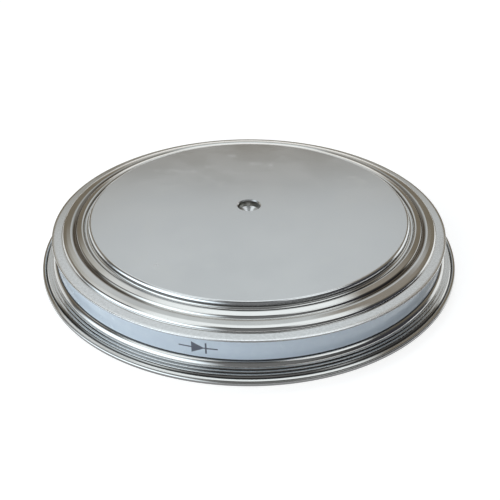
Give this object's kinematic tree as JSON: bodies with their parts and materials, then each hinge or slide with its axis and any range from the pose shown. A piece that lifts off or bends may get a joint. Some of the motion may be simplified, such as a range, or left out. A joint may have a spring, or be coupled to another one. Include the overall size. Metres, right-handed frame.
{
  "type": "press-pack disc diode",
  "caption": "Thin round rectifier cell with flat metal pole faces, a glazed ceramic ring, beaded sheet flanges and a welded brim, clamped between busbars to carry high current one way.",
  "frame": {"origin": "middle of the lower pole face, the face that the cell lies on", "axes": "+Z along the cell's axis, from the lower pole face to the upper one; the cell is round, so +X and +Y are free"},
  "size_m": [0.0652, 0.0652, 0.008],
  "materials": {
    "nickel_plate": "satin nickel plate",
    "nickel_iron": "bright nickel plate",
    "glazed_alumina": "clear glaze",
    "molybdenum": "lapped",
    "silicon": "polished",
    "silicone_rubber": "matte",
    "silver": "satin",
    "ptfe": "matte"
  },
  "bodies": {
    "root": {"upper_pole_piece": "nickel_plate", "upper_flange": "nickel_iron", "ceramic_ring": "glazed_alumina", "weld_ring": "nickel_plate", "lower_flange": "nickel_iron", "lower_pole_piece": "nickel_plate", "molybdenum_disc": "molybdenum", "silicon_wafer": "silicon", "edge_passivation": "silicone_rubber", "contact_disc": "silver", "centring_ring": "ptfe"}
  },
  "joints": []
}
